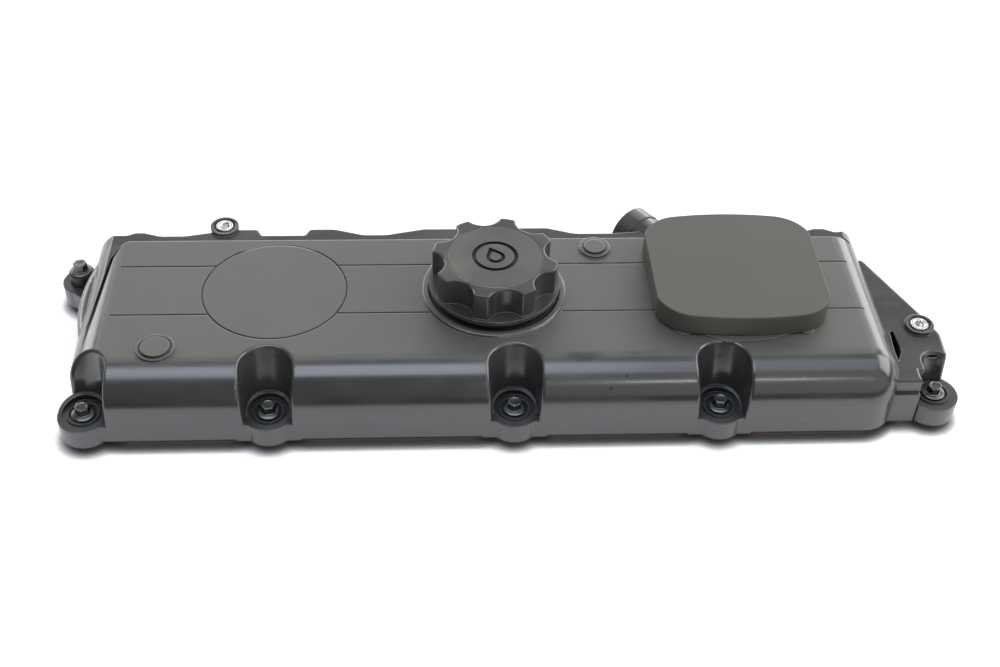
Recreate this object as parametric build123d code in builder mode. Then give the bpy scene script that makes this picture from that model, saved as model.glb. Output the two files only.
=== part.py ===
from build123d import *
import math
import os

# A plastic engine valve cover with its filler cap, breather, seal and captive bolts.
# Millimetres. X runs along the camshaft, Y from the front row of bolts to the rear row, Z up.
# The origin is under the middle of the cover, on the plane where the tips of the bolts stand.

# Captive bolts and the bushes that carry them
bolt_length = 20.0
bolt_shank_d = 6.0
bolt_tip_chamfer = 0.8
bolt_flange_d = 14.2
bolt_flange_h = 1.4
bolt_hex_af = 8.0
bolt_hex_h = 5.2
sleeve_length = 14.0
sleeve_d = 10.0
sleeve_bore_d = 6.6
bush_d = 20.4
bush_body_d = 14.4
bush_lip_w = 2.0
bush_lip_h = 1.0
bush_recess = 0.4
bush_gap = 0.05
bush_seat_depth = 8.0
tall_bush_d = 16.0
tall_bush_rise = 8.0

# Main body
base_z = bolt_length - sleeve_length
wall = 3.0
body_left = -260.0
body_right = 244.5
front_wall_y = -84.5
rear_wall_y = 57.0
plateau_z = 54.0
front_roll = 25.0
left_roll = 22.0
right_roll = 20.0

# Step round the rear and the ends of the plateau
shoulder_z = 51.0
step_groove_w = 2.6
step_groove_z = 48.5
step_rear_y = 50.5
step_corner_r = 8.0

# Bolt places along the front, on the end lugs and along the rear
front_bolt_y = -73.4
front_bolt_xs = (-141.2, 7.4, 133.6)
left_lug = (-251.3, -73.0)
right_lug = (269.9, -64.7)
corner_lug = (-272.3, 51.0)
rear_bolt_y = 73.4
rear_bolt_xs = (-139.0, -5.0, 142.0, 196.0)
boss_r = 15.6
corner_lug_r = 13.2
boss_h = 13.5
boss_join_r = 4.0
bulge_z = 43.0
bulge_edge_r = 5.0

# Scooped niches over the bolts, which flare and lean back as they rise
niche_r = 13.8
niche_flare = 0.07
niche_lean = 0.16
niche_edge_r = 2.0
end_niche_r = 11.2
end_niche_flare = -0.11
end_niche_lean = 0.38
end_niche_edge_r = 1.5
seat_ring_r = 12.6
seat_ring_h = 4.2

# Perimeter seal and the flange that holds it
seal_lip = 2.4
seal_w = 3.6
seal_depth = 4.0
seal_drop = 2.0
seal_gap = 0.05
seal_corner_r = 22.0
seal_turn_r = 8.5
flange_h = 8.0
flange_inner_lip = 1.6
bolt_keepout_r = 12.6

# Gusset and inserts
gusset_z = 40.0
gusset_edge_r = 2.5
pocket_depth = 8.0
gusset_front_y = -73.7
lug_wall_y = -75.6
lug_wall_z = 29.0
lug_wall_right = 257.0
insert_boss_r = 9.2
insert_boss_h = 2.0
insert_lip_r = 7.4
insert_lip_h = 1.2
insert_r = 5.6
insert_bore_r = 3.0
insert_length = 12.0
insert_proud = 0.4
insert_gap = 0.05
end_insert_at = (267.2, -25.0)
rear_insert_at = (-177.5, 66.2)
rear_insert_column = 24.0

# Ribs under the roof
rib_t = 2.4
rib_h = 7.0
rib_xs = (-228.0, -184.0, -96.0, -52.0)
rib_ys = (-24.0, 24.0)

# Plateau details
line_w = 1.1
line_depth = 0.7
line_half_length = 235.0
line_ys = (23.2, -22.8)
line_mid_x = -3.5
ring_mark_at = (-139.9, -0.6)
ring_mark_r = 45.4
buttons = ((-207.0, -53.0, 11.6, 8.8), (65.0, 38.7, 10.2, 6.9))
button_h = 2.0
button_ring_h = 1.1
button_gap = 1.2

# Filler neck
filler_at = (-2.7, -1.6)
bead_r = 42.9
bead_w = 5.0
bead_h = 1.6
neck_bore_r = 26.0
neck_wall = 4.0
neck_drop = 14.0
neck_top_r = 38.4
neck_groove_r = 36.0
neck_top_h = 4.2
neck_lip_h = 1.6

# Filler cap
cap_seal_t = 1.8
cap_seal_inner_r = 27.5
cap_seal_outer_r = 33.5
cap_flange_r = 41.2
cap_flange_h = 2.6
cap_knob_r = 39.2
cap_top_z = 81.0
cap_edge_r = 1.4
cap_scallop_count = 8
cap_scallop_r = 11.8
cap_scallop_floor_r = 31.8
cap_scallop_phase = -82.5
cap_corner_r = 2.0
cap_plug_gap = 0.6
cap_plug_wall = 2.6
cap_plug_drop = 12.0
cap_roof = 3.2
cap_disc_r = 29.6
cap_disc_t = 2.0
cap_disc_gap = 0.25

# Breather: a diaphragm valve in a round well under a rounded square cover
breather_at = (150.1, 3.1)
lid_w = 107.8
lid_d = 103.4
lid_side = 64.0
lid_shoulder = (33.0, 49.3)
lid_corner_r = 3.5
lid_top_z = 69.4
lid_seat_gap = 0.3
lid_wall = 2.4
lid_edge_r = 0.8
pad_r = 56.6
pad_w = 106.0
pad_d = 112.0
pad_set = -2.0
pad_lobe_r = 5.0
pad_lobes = (37.8, 45.0)
pad_h = 1.0
well_r = 40.0
well_wall = 3.0
well_rim_h = 3.0
well_floor_z = 24.5
seat_tube_r = 11.0
seat_tube_wall = 2.0
diaphragm_t = 1.0
diaphragm_stroke = 4.0
roll_r = 4.5
roll_mid_r = 31.5
plate_r = 22.0
plate_t = 1.6
plate_hub_r = 5.0
plate_hub_h = 3.0
spring_wire_r = 0.8
spring_coil_r = 15.5
spring_turns = 4

# Hose spigot
spigot_angle = 126.5
spigot_reach = 94.2
spigot_z = 37.5
spigot_r = 17.0
spigot_length = 12.0
spigot_duct_r = 16.2
spigot_bore_r = 13.4

# Baffle plate and its screws
baffle_z = 16.0
baffle_t = 2.0
baffle_left = 64.0
baffle_right = 236.0
baffle_front = -50.0
baffle_rear = 46.0
baffle_corner_r = 8.0
baffle_rim_h = 3.0
baffle_rim_t = 1.6
baffle_drain_r = 5.0
baffle_drain_h = 6.0
baffle_slot_count = 5
baffle_slot_pitch = 12.0
post_r = 4.5
screw_places = ((73, -42), (150, -43.5), (228, -42), (73, 38), (186, 39), (226, 36))
screw_d = 4.0
screw_head_d = 8.0
screw_head_h = 2.4
screw_length = 14.0
screw_gap = 0.3
thread_gap = 0.05

shelf_z = base_z + boss_h
sleeve_top_z = base_z + sleeve_length
flange_top_z = base_z + flange_h
roof_z = plateau_z - wall
neck_top_z = plateau_z + neck_top_h
cap_flange_z = neck_top_z + cap_seal_t
well_rim_z = plateau_z + well_rim_h
membrane_z = well_rim_z + diaphragm_t
seat_tube_z = well_rim_z - diaphragm_stroke - 0.2
lid_bottom_z = plateau_z + pad_h + lid_seat_gap
os.makedirs("parts", exist_ok=True)


def save(part, name):
    """Labels one finished piece and writes it."""
    part.label = name
    export_step(part, f"parts/{name}.step")


def ledge_outline(inset):
    """The plan outline: outside the front and the ends, and wavy along the rear ledge."""
    wave = (
        (-239.7, 59.0, 5), (-235.5, 61.5, 4), (-229.5, 61.5, 6), (-218.5, 57.9, 12),
        (-203.0, 57.9, 12), (-185.0, 61.5, 8), (-170.0, 64.1, 8), (-156.0, 64.1, 3), (-152.9, 57.9, 2),
        (-124.2, 57.9, 2), (-121.4, 64.1, 3), (-105.5, 64.1, 12), (-86.0, 57.9, 16), (-71.0, 57.9, 16),
        (-46.0, 63.7, 12), (-21.6, 63.7, 3), (-18.6, 57.9, 2), (8.6, 57.9, 2), (11.6, 64.1, 3), (35.5, 64.1, 8),
        (54.0, 58.0, 16), (79.0, 57.9, 16), (101.5, 60.2, 16), (125.6, 63.7, 3), (128.4, 57.9, 2),
        (155.6, 57.9, 2), (158.4, 63.7, 3), (179.6, 63.7, 3), (182.4, 57.9, 2), (207.0, 57.9, 8),
        (215.5, 61.3, 5), (222.5, 61.3, 5), (230.0, 57.7, 6), (239.2, 59.2, 8),
    )
    left, right, front = body_left - 0.5, body_right + 0.5, front_wall_y - 20
    with BuildSketch() as plan:
        with BuildLine():
            FilletPolyline((left, front), (left, wave[0][1]), *[(x, y) for x, y, _ in wave], (right, wave[-1][1]),
                           (right, front), radius=[5.0] + [r for _, _, r in wave] + [2.0])
            Line((right, front), (left, front))
        make_face()
        if inset:
            offset(amount=-inset, kind=Kind.INTERSECTION)
    return plan.sketch


def step_path(inset):
    """The foot of the plateau, from the left end round the rear to the right end."""
    with BuildLine() as path:
        FilletPolyline(
            (body_left + 7 + inset, -46.0), (body_left + 10 + inset, -19.0), (body_left + 12 + inset, 8.0),
            (body_left + 14 + inset, 34.0), (body_left + 19 + inset, step_rear_y - inset),
            (body_right - 6 - inset, step_rear_y - inset),
            (body_right + 1 - inset, 14.0),
            radius=step_corner_r,
        )
    return path.line


def step_region(inset):
    """Everything behind and beside the plateau, which the step lowers."""
    path = step_path(inset)
    start, end = path @ 0, path @ 1
    with BuildSketch() as region:
        with BuildLine():
            add(path)
            Polyline(start, (body_left - 30, start.Y), (body_left - 30, 100), (body_right + 30, 100),
                     (body_right + 30, end.Y), end)
        make_face()
    return region.sketch


def hull(inset, bottom_z, step_z):
    """The main body with its rolled front and ends, or the cavity when inset is the wall."""
    front = front_wall_y + inset
    top = plateau_z - inset
    roll = front_roll - inset
    rear = rear_wall_y + 25
    with BuildPart() as body:
        with BuildSketch(Plane.YZ.offset(body_left + inset)):
            with BuildLine():
                rise = Line((front, bottom_z), (front, top - roll))
                arc = RadiusArc(rise @ 1, (front + roll, top), roll)
                flat = Line(arc @ 1, (rear, top))
                drop = Line(flat @ 1, (rear, bottom_z))
                Line(drop @ 1, rise @ 0)
            make_face()
        extrude(amount=body_right - body_left - 2 * inset)
        for end, radius in ((0, left_roll), (-1, right_roll)):
            outline = body.faces().filter_by(Axis.X).sort_by(Axis.X)[end].edges()
            outline = outline.filter_by(lambda e: e.center().Z > bottom_z + 0.1)
            outline = outline.filter_by(lambda e: e.center().Y < rear - 0.1)
            fillet(outline, radius - inset)
        with BuildSketch(Plane.XY.offset(bottom_z - 1)):
            add(ledge_outline(inset))
        extrude(amount=plateau_z + 2, mode=Mode.INTERSECT)
        with BuildSketch(Plane.XY.offset(step_z)):
            add(step_region(inset))
        extrude(amount=plateau_z, mode=Mode.SUBTRACT)
    return body.part


def niche(radius, flare, lean, low_z, high_z, grow):
    """A scoop round a bolt axis at the origin: a round back that leans away, open to the front."""
    with BuildPart() as scoop:
        for z in (low_z, high_z):
            r = radius + flare * (z - shelf_z) + grow
            back = lean * (z - shelf_z)
            with BuildSketch(Plane.XY.offset(z)):
                with BuildLine():
                    arc = CenterArc((0, back), r, 0, 180)
                    Polyline(arc @ 1, (-r, -2 * boss_r), (r, -2 * boss_r), arc @ 0)
                make_face()
        loft(ruled=True)
    return scoop.part


def seal_region(inset):
    """The area inside the seal's line, which steps inwards round the left lug and each front bolt."""
    left, right = body_left + inset, body_right - inset
    front, rear = front_wall_y + inset, rear_wall_y - inset
    keep, turn, corner = bolt_keepout_r + inset, seal_turn_r - inset, seal_corner_r - inset
    notch_x, notch_y = left_lug[0] + keep, left_lug[1] + keep
    reach = notch_x + turn
    with BuildSketch() as region:
        with BuildLine():
            CenterArc((left + turn, notch_y + turn), turn, 180, 90)
            Line((left + turn, notch_y), (left_lug[0], notch_y))
            CenterArc(left_lug, keep, 0, 90)
            Line((notch_x, left_lug[1]), (notch_x, front + turn))
            CenterArc((reach, front + turn), turn, 180, 90)
            for x in front_bolt_xs:
                Line((reach, front), (x - keep - turn, front))
                CenterArc((x - keep - turn, front + turn), turn, 270, 90)
                Line((x - keep, front + turn), (x - keep, front_bolt_y))
                CenterArc((x, front_bolt_y), keep, 0, 180)
                Line((x + keep, front_bolt_y), (x + keep, front + turn))
                reach = x + keep + turn
                CenterArc((reach, front + turn), turn, 180, 90)
            Line((reach, front), (right - corner, front))
            CenterArc((right - corner, front + corner), corner, 270, 90)
            Line((right, front + corner), (right, rear - corner))
            CenterArc((right - corner, rear - corner), corner, 0, 90)
            Line((right - corner, rear), (left + corner, rear))
            CenterArc((left + corner, rear - corner), corner, 90, 90)
            Line((left, rear - corner), (left, notch_y + turn))
        make_face()
    return region.sketch


def gusset_outline(inset):
    """The plan of the triangular gusset at the right end."""
    with BuildSketch() as plan:
        with BuildLine():
            FilletPolyline(
                (body_right - 14, right_lug[1]), (body_right - 14, 44.5), (body_right + 3, 42.3), (274.0, -16.5),
                (279.8, -32.0), (278.4, -52.0), (276.0, right_lug[1]),
                radius=[2.0, 4.0, 20.0, 9.0, 30.0],
            )
            Line((276.0, right_lug[1]), (body_right - 14, right_lug[1]))
        make_face()
        with Locations(((body_right - 14 + lug_wall_right) / 2, (gusset_front_y + right_lug[1]) / 2)):
            Rectangle(lug_wall_right - body_right + 14, right_lug[1] - gusset_front_y)
        if inset:
            offset(amount=-inset, kind=Kind.INTERSECTION)
    return plan.sketch


def outside_rim(edge):
    """True for an edge that lies on the front wall, on the rolled edge or on the plateau."""
    for point in (edge @ 0.2, edge @ 0.5, edge @ 0.8):
        on_wall = abs(point.Y - front_wall_y) < 0.02
        on_top = abs(point.Z - plateau_z) < 0.02
        reach = math.hypot(point.Y - front_wall_y - front_roll, point.Z - plateau_z + front_roll)
        if not (on_wall or on_top or abs(reach - front_roll) < 0.05):
            return False
    return True


def left_niche_rim(edge):
    """True for the rim of the left lug's niche, above the shelf and outside the niche."""
    point = edge.center()
    inside = abs(point.X - left_lug[0] - niche_r) < 2 and abs(point.Y - left_lug[1]) < 4
    reach = math.hypot(point.X - left_lug[0], point.Y - left_lug[1])
    return reach < 2.5 * boss_r and point.Z > shelf_z + 2 and not inside


def end_niche_rim(edge):
    """True for the rim of the gusset's niche on its top."""
    point = edge.center()
    return math.hypot(point.X - right_lug[0], point.Y - right_lug[1] - 8) < 12 and point.X < 277


front_bolts = [(x, front_bolt_y) for x in front_bolt_xs] + [left_lug]
rear_bolts = [(x, rear_bolt_y) for x in rear_bolt_xs]
bolt_places = front_bolts + [right_lug] + rear_bolts + [corner_lug]
spigot_heading = (math.cos(math.radians(spigot_angle)), math.sin(math.radians(spigot_angle)), 0)
spigot_plane = Plane(origin=(*breather_at, spigot_z), z_dir=spigot_heading)

# The cavity under the roof, less the columns round the bolts and the ribs
with BuildPart() as cavity:
    add(hull(wall, flange_top_z, step_groove_z - wall))
    column = niche(niche_r, niche_flare, niche_lean, base_z, plateau_z + 6, wall)
    for x, y in front_bolts:
        add(column.moved(Location((x, y, 0))), mode=Mode.SUBTRACT)
    for x in rib_xs:
        with Locations((x, 0, roof_z - rib_h / 2)):
            Box(rib_t, 2 * body_right, rib_h, mode=Mode.SUBTRACT)
    for y in rib_ys:
        with Locations(((rib_xs[0] + rib_xs[-1]) / 2, y, roof_z - rib_h / 2)):
            Box(rib_xs[-1] - rib_xs[0] + 40, rib_t, rib_h, mode=Mode.SUBTRACT)

# The gusset at the right end, hollow from below round its lug and its insert
with BuildPart() as gusset:
    with BuildSketch(Plane.XY.offset(base_z)):
        add(gusset_outline(0))
    extrude(amount=gusset_z - base_z)
    top_rim = gusset.faces().sort_by(Axis.Z)[-1].edges().filter_by(lambda e: e.center().X > body_right - 3)
    fillet(top_rim, gusset_edge_r)
    with BuildSketch(Plane.XY.offset(base_z)):
        with Locations(((226 + lug_wall_right) / 2, (lug_wall_y + right_lug[1]) / 2)):
            Rectangle(lug_wall_right - 226, right_lug[1] - lug_wall_y)
    extrude(amount=lug_wall_z - base_z)
    with BuildSketch(Plane.XY.offset(base_z)):
        with Locations(right_lug):
            Circle(boss_r)
    extrude(amount=boss_h)
    scoop = niche(end_niche_r, end_niche_flare, end_niche_lean, shelf_z, plateau_z, 0)
    add(scoop.moved(Location((*right_lug, 0))), mode=Mode.SUBTRACT)
    rim = gusset.faces().filter_by(Axis.Z).sort_by(Axis.Z)[-1].edges()
    fillet(rim.filter_by(end_niche_rim), end_niche_edge_r)
    with BuildSketch(Plane.XY.offset(base_z)):
        add(gusset_outline(wall))
        with Locations((body_right - 20, 0)):
            Rectangle(2 * (20 + 7), 400, mode=Mode.SUBTRACT)
        with Locations(right_lug):
            Circle(boss_r, mode=Mode.SUBTRACT)
        with Locations(end_insert_at):
            Circle(insert_boss_r, mode=Mode.SUBTRACT)
    extrude(amount=gusset_z - base_z - wall, mode=Mode.SUBTRACT)
    with BuildSketch(Plane.XY.offset(gusset_z)):
        Polygon((247.0, -30.3), (249.4, -29.4), (249.9, -42.4), (249.5, -48.7), (246.0, -56.8), (245.6, -48.7),
                align=None)
    extrude(amount=-pocket_depth, mode=Mode.SUBTRACT)
    with BuildSketch(Plane.XY.offset(gusset_z - 12)):
        with Locations(end_insert_at):
            Circle(insert_boss_r)
    extrude(amount=12 + insert_boss_h)

# The ring that rises behind the bush of each front bolt
with BuildPart() as seat_ring:
    with BuildSketch(Plane.XY.offset(shelf_z - 1)):
        Circle(seat_ring_r + 2.5)
        Circle(seat_ring_r, mode=Mode.SUBTRACT)
    extrude(amount=seat_ring_h + 1)
    with BuildSketch(Plane.YZ.offset(-2 * boss_r)):
        with BuildLine():
            Polyline(
                (-4, shelf_z - 1), (-4, shelf_z), (seat_ring_r, shelf_z + seat_ring_h),
                (boss_r + 4, shelf_z + seat_ring_h), (boss_r + 4, shelf_z - 1), close=True,
            )
        make_face()
    extrude(amount=4 * boss_r, mode=Mode.INTERSECT)

# The soft bulge on the left wall, wider towards its foot
with BuildPart() as bulge:
    for z, front_y, out_x, rear_x in ((base_z, -36.0, -268.5, -270.0), (bulge_z, -30.0, -263.2, -256.0)):
        with BuildSketch(Plane.XY.offset(z)):
            with BuildLine():
                side = ThreePointArc((body_left + 2, front_y), (out_x, 9.0), (rear_x, 48.0))
                Polyline(side @ 1, (body_left + 9, 48.0), (body_left + 9, front_y), side @ 0)
            make_face()
    loft(ruled=True)
    crest = bulge.faces().sort_by(Axis.Z)[-1].edges().sort_by(Axis.X)[0]
    fillet(crest, bulge_edge_r)

with BuildPart() as cover:
    add(hull(0, base_z, shoulder_z))

    # Scooped niches along the front, with softened rims, then the groove at the foot of the plateau
    scoop = niche(niche_r, niche_flare, niche_lean, shelf_z, plateau_z + 6, 0)
    for x, y in front_bolts:
        add(scoop.moved(Location((x, y, 0))), mode=Mode.SUBTRACT)
    for bolt_x in front_bolt_xs:
        rims = cover.edges().filter_by(outside_rim).filter_by(lambda e: e.center().Y < 0)
        rims = rims.filter_by(lambda e: abs(e.center().X - bolt_x) < boss_r + 3)
        fillet(rims, niche_edge_r)
    fillet(cover.edges().filter_by(left_niche_rim), niche_edge_r)
    with BuildSketch(Plane.XY.offset(step_groove_z)):
        with BuildLine():
            add(step_path(0))
        trace(line_width=step_groove_w)
    extrude(amount=20, mode=Mode.SUBTRACT)

    # The bulge on the left wall, the bolt bosses and the ears
    add(bulge.part)
    with BuildSketch(Plane.XY.offset(base_z)) as feet:
        with Locations(*front_bolts):
            Circle(boss_r)
        with Locations(*[(x, front_wall_y + wall / 2) for x in front_bolt_xs]):
            Rectangle(2 * boss_r + 8, wall)
        reach = math.sqrt(boss_r ** 2 - (front_bolt_y - front_wall_y) ** 2)
        fillet(feet.vertices().filter_by(
            lambda v: abs(v.Y - front_wall_y) < 0.01
            and any(abs(abs(v.X - x) - reach) < 0.01 for x in front_bolt_xs)), boss_join_r)
        with Locations(*rear_bolts):
            Circle(boss_r)
        with Locations(*[(x, rear_bolt_y - boss_r / 2 - 2) for x in rear_bolt_xs]):
            Rectangle(1.4 * boss_r, boss_r)
    extrude(amount=boss_h)
    with BuildSketch(Plane.XY.offset(base_z)):
        with Locations(corner_lug):
            Circle(corner_lug_r)
        Polygon((corner_lug[0], corner_lug[1] + corner_lug_r), (body_left + 4, corner_lug[1] + corner_lug_r - 4),
                (body_left + 4, corner_lug[1] - 2.2 * corner_lug_r),
                (corner_lug[0] - 0.8 * corner_lug_r, corner_lug[1] - 0.6 * corner_lug_r), align=None)
    extrude(amount=boss_h)
    for x, y in front_bolts:
        add(seat_ring.part.moved(Location((x, y, 0))))
    add(gusset.part)

    # The hollow underneath and the groove for the seal
    add(cavity.part, mode=Mode.SUBTRACT)
    with BuildSketch(Plane.XY.offset(base_z)):
        add(seal_region(seal_lip + seal_w + flange_inner_lip))
    extrude(amount=flange_h, mode=Mode.SUBTRACT)
    with BuildSketch(Plane.XY.offset(base_z)):
        add(seal_region(seal_lip))
        add(seal_region(seal_lip + seal_w), mode=Mode.SUBTRACT)
    extrude(amount=seal_depth, mode=Mode.SUBTRACT)

    # Marks on the plateau
    with BuildSketch(Plane.XY.offset(plateau_z)):
        with Locations(*[(line_mid_x, y) for y in line_ys]):
            Rectangle(2 * line_half_length, line_w)
        with Locations(ring_mark_at):
            Circle(ring_mark_r, mode=Mode.SUBTRACT)
            Circle(ring_mark_r)
            Circle(ring_mark_r - line_w, mode=Mode.SUBTRACT)
        with Locations(filler_at):
            Circle(bead_r + bead_w / 2 + 1, mode=Mode.SUBTRACT)
        with Locations(breather_at):
            Circle(pad_r + 1, mode=Mode.SUBTRACT)
    extrude(amount=-line_depth, mode=Mode.SUBTRACT)
    for x, y, outer_r, inner_r in buttons:
        with Locations((x, y, plateau_z - 1)):
            Cylinder(outer_r, 1 + button_ring_h, align=(Align.CENTER, Align.CENTER, Align.MIN))
        with Locations((x, y, plateau_z + button_ring_h / 2)):
            Cylinder(inner_r + button_gap, button_h, align=(Align.CENTER, Align.CENTER, Align.MIN),
                     mode=Mode.SUBTRACT)
            Cylinder(inner_r, button_h - button_ring_h / 2, align=(Align.CENTER, Align.CENTER, Align.MIN))

    # Filler neck with its bead
    with BuildSketch(Plane.XY.offset(plateau_z - 1)):
        with Locations(filler_at):
            Circle(bead_r + bead_w / 2)
            Circle(bead_r - bead_w / 2, mode=Mode.SUBTRACT)
    extrude(amount=1 + bead_h)
    bead_rim = cover.edges().filter_by(GeomType.CIRCLE).filter_by(
        lambda e: abs(e.center().Z - plateau_z - bead_h) < 0.01 and abs(e.radius - bead_r) < bead_w
        and abs(e.arc_center.X - filler_at[0]) < 0.01
    )
    fillet(bead_rim, bead_h - 0.1)
    with Locations((*filler_at, neck_top_z)):
        Cylinder(neck_top_r, neck_lip_h, align=(Align.CENTER, Align.CENTER, Align.MAX))
        Cylinder(neck_groove_r, neck_top_h + 1, align=(Align.CENTER, Align.CENTER, Align.MAX))
        Cylinder(neck_bore_r + neck_wall, neck_top_h + wall + neck_drop,
                 align=(Align.CENTER, Align.CENTER, Align.MAX))
        Cylinder(neck_bore_r, neck_top_h + wall + neck_drop + 1, align=(Align.CENTER, Align.CENTER, Align.MAX),
                 mode=Mode.SUBTRACT)

    # Breather pad, well and hose spigot
    with BuildSketch(Plane.XY.offset(shoulder_z - 1)):
        with Locations(breather_at):
            Circle(pad_r)
        with Locations((breather_at[0], breather_at[1] + pad_set)):
            Rectangle(pad_w, pad_d, mode=Mode.INTERSECT)
        with Locations(breather_at):
            with GridLocations(2 * pad_lobes[0], 2 * pad_lobes[1], 2, 2):
                Circle(pad_lobe_r)
    extrude(amount=plateau_z + pad_h - shoulder_z + 1)
    with Locations((*breather_at, well_rim_z)):
        Cylinder(well_r + well_wall, well_rim_z - well_floor_z + wall, align=(Align.CENTER, Align.CENTER, Align.MAX))
    with BuildSketch(spigot_plane):
        Circle(spigot_duct_r)
    extrude(amount=spigot_reach)
    with BuildSketch(spigot_plane.offset(spigot_reach - spigot_length)):
        Circle(spigot_r)
    extrude(amount=spigot_length)
    with BuildSketch(spigot_plane):
        Circle(spigot_bore_r)
    extrude(amount=spigot_reach + 1, mode=Mode.SUBTRACT)
    with Locations((*breather_at, well_floor_z)):
        Cylinder(well_r, 2 * well_r, align=(Align.CENTER, Align.CENTER, Align.MIN), mode=Mode.SUBTRACT)
    with Locations((*breather_at, well_floor_z - wall)):
        Cylinder(seat_tube_r + seat_tube_wall, seat_tube_z - well_floor_z + wall,
                 align=(Align.CENTER, Align.CENTER, Align.MIN))
        Cylinder(seat_tube_r, 2 * well_r, align=(Align.CENTER, Align.CENTER, Align.MIN), mode=Mode.SUBTRACT)

    # Posts that carry the baffle
    with BuildSketch(Plane.XY.offset(baffle_z + baffle_t)):
        with Locations(*screw_places):
            Circle(post_r)
    extrude(amount=roof_z - baffle_z - baffle_t + 1)
    with BuildSketch(Plane.XY.offset(baffle_z + baffle_t)):
        with Locations(*screw_places):
            Circle(screw_d / 2 + thread_gap)
    extrude(amount=screw_length - baffle_t + 1, mode=Mode.SUBTRACT)

    # Boss of the rear insert and both insert holes
    with BuildSketch(Plane.XY.offset(rear_insert_column)):
        with Locations(rear_insert_at):
            Circle(insert_boss_r)
    extrude(amount=shoulder_z + insert_boss_h - rear_insert_column)
    for place, top in ((rear_insert_at, shoulder_z + insert_boss_h), (end_insert_at, gusset_z + insert_boss_h)):
        with Locations((*place, top - insert_lip_h)):
            Cylinder(insert_lip_r, insert_length, align=(Align.CENTER, Align.CENTER, Align.MIN), mode=Mode.SUBTRACT)
        with Locations((*place, top - insert_length + insert_proud)):
            Cylinder(insert_r + insert_gap, 2 * insert_length, align=(Align.CENTER, Align.CENTER, Align.MIN),
                     mode=Mode.SUBTRACT)

    # Stepped holes for the bushes
    with BuildSketch(Plane.XY.offset(base_z)):
        with Locations(*bolt_places):
            Circle(bush_body_d / 2 + bush_gap)
    extrude(amount=boss_h + 1, mode=Mode.SUBTRACT)
    with BuildSketch(Plane.XY.offset(shelf_z - bush_seat_depth)):
        with Locations(*bolt_places[:-1]):
            Circle(bush_d / 2 + bush_gap)
        with Locations(corner_lug):
            Circle(tall_bush_d / 2 + bush_gap)
    extrude(amount=bush_seat_depth + 1, mode=Mode.SUBTRACT)
save(cover.part, "cover_moulding")

with BuildPart() as gasket:
    with BuildSketch(Plane.XY.offset(base_z - seal_drop)):
        add(seal_region(seal_lip + seal_gap))
        add(seal_region(seal_lip + seal_w - seal_gap), mode=Mode.SUBTRACT)
    extrude(amount=seal_drop + seal_depth - seal_gap)
save(gasket.part, "cover_gasket")


def bolt(rise):
    """A flange bolt on the bolt axis, with its seat lifted by rise and its tip at zero."""
    seat = sleeve_top_z + rise
    with BuildPart() as screw:
        Cylinder(bolt_shank_d / 2, seat, align=(Align.CENTER, Align.CENTER, Align.MIN))
        chamfer(screw.faces().sort_by(Axis.Z)[0].edges(), bolt_tip_chamfer)
        with Locations((0, 0, seat)):
            Cylinder(bolt_flange_d / 2, bolt_flange_h, align=(Align.CENTER, Align.CENTER, Align.MIN))
        with BuildSketch(Plane.XY.offset(seat + bolt_flange_h)):
            RegularPolygon(bolt_hex_af / 2, 6, major_radius=False)
        extrude(amount=bolt_hex_h)
        chamfer(screw.faces().sort_by(Axis.Z)[-1].edges(), 0.5)
    return screw.part


def sleeve(rise):
    """The steel spacer inside a bush."""
    with BuildPart() as tube:
        with BuildSketch(Plane.XY.offset(base_z)):
            Circle(sleeve_d / 2)
            Circle(sleeve_bore_d / 2, mode=Mode.SUBTRACT)
        extrude(amount=sleeve_length + rise)
    return tube.part


def bush():
    """The rubber bush of an ordinary bolt place, with a lip round the bolt's flange."""
    top = shelf_z + bush_lip_h
    with BuildPart() as rubber:
        Cylinder(bush_body_d / 2, shelf_z - base_z, align=(Align.CENTER, Align.CENTER, Align.MIN))
        with Locations((0, 0, boss_h - bush_seat_depth)):
            Cylinder(bush_d / 2, bush_seat_depth + bush_lip_h, align=(Align.CENTER, Align.CENTER, Align.MIN))
        with Locations((0, 0, boss_h - bush_recess)):
            Cylinder(bush_d / 2 - bush_lip_w, top, align=(Align.CENTER, Align.CENTER, Align.MIN), mode=Mode.SUBTRACT)
        Cylinder(sleeve_d / 2 + bush_gap, top, align=(Align.CENTER, Align.CENTER, Align.MIN), mode=Mode.SUBTRACT)
        fillet(rubber.faces().sort_by(Axis.Z)[-1].edges(), 0.4)
    return rubber.part.moved(Location((0, 0, base_z)))


def tall_bush():
    """The taller rubber bush of the corner lug."""
    top = boss_h + tall_bush_rise
    with BuildPart() as rubber:
        Cylinder(bush_body_d / 2, top, align=(Align.CENTER, Align.CENTER, Align.MIN))
        with Locations((0, 0, boss_h - bush_seat_depth)):
            Cylinder(tall_bush_d / 2, top - boss_h + bush_seat_depth, align=(Align.CENTER, Align.CENTER, Align.MIN))
        Cylinder(sleeve_d / 2 + bush_gap, top, align=(Align.CENTER, Align.CENTER, Align.MIN), mode=Mode.SUBTRACT)
        fillet(rubber.edges().filter_by(GeomType.CIRCLE).sort_by(Axis.Z)[-1:], 0.4)
    return rubber.part.moved(Location((0, 0, base_z)))


with BuildPart() as bolts:
    for x, y in bolt_places[:-1]:
        add(bolt(0).moved(Location((x, y, 0))))
    add(bolt(tall_bush_rise).moved(Location((*corner_lug, 0))))
save(bolts.part, "flange_bolts")

for number, (x, y) in enumerate(bolt_places, start=1):
    tall = (x, y) == corner_lug
    place = Location((x, y, 0))
    save((tall_bush() if tall else bush()).moved(place), f"bolt_isolator_{number}")
    save(sleeve(tall_bush_rise if tall else 0).moved(place), f"bolt_sleeve_{number}")

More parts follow.
